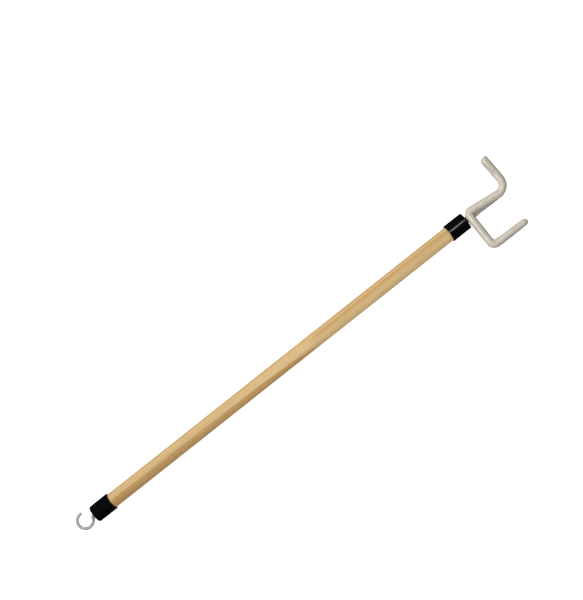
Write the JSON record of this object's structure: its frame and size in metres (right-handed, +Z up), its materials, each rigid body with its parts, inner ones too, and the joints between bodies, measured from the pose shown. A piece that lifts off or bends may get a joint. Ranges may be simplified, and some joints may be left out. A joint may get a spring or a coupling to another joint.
{
  "type": "dressing stick",
  "caption": "Long wooden stick with a coated push-and-pull hook at one end and a small wire hook at the other, for pulling clothes on and off.",
  "frame": {"origin": "centre of the stick's outline, on the table it lies on, below its lowest points", "axes": "+X along the dowel towards the push-and-pull hook, +Z up from the table, +Y to the side the pull arm points to"},
  "size_m": [0.6672, 0.095, 0.0348],
  "materials": {
    "wood": "clear satin lacquer",
    "black_vinyl": "glossy dipped vinyl",
    "hook_vinyl": "satin dipped vinyl, warm off-white",
    "rod_steel": "bare mild steel",
    "weld_steel": "as welded",
    "zinc_wire": "bright zinc plating"
  },
  "bodies": {
    "root": {"dowel": "wood", "upper_end_cap": "black_vinyl", "lower_end_cap": "black_vinyl", "push_pull_rod": "rod_steel", "screw_shank": "rod_steel", "crossing_weld": "weld_steel", "seam_weld": "weld_steel", "hook_coating": "hook_vinyl", "c_hook": "zinc_wire"}
  },
  "joints": []
}
